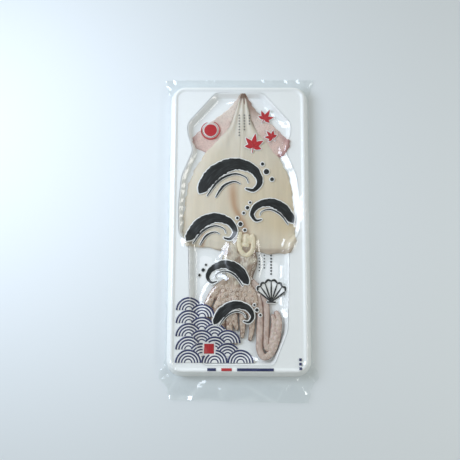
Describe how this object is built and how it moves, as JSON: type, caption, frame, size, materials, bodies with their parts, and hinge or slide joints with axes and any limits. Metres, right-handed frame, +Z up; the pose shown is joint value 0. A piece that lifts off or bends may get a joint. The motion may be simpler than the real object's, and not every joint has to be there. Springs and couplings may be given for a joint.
{
  "type": "dried squid in a clear sealed bag",
  "caption": "Whole opened dried squid lying flat in a squid-shaped white tray, sealed in a clear printed film bag with a flap of film at each end.",
  "frame": {"origin": "centre of the bounding box's bottom face, on the surface that the tray's underside rests on", "axes": "+Y along the pack towards the mantle's pointed tip, +Z up, away from the surface, +X to the right seen from above"},
  "size_m": [0.184, 0.39, 0.0145],
  "materials": {
    "film": "glossy clear film over a white tray and pale squid"
  },
  "bodies": {
    "root": {"bag": "film"}
  },
  "joints": []
}
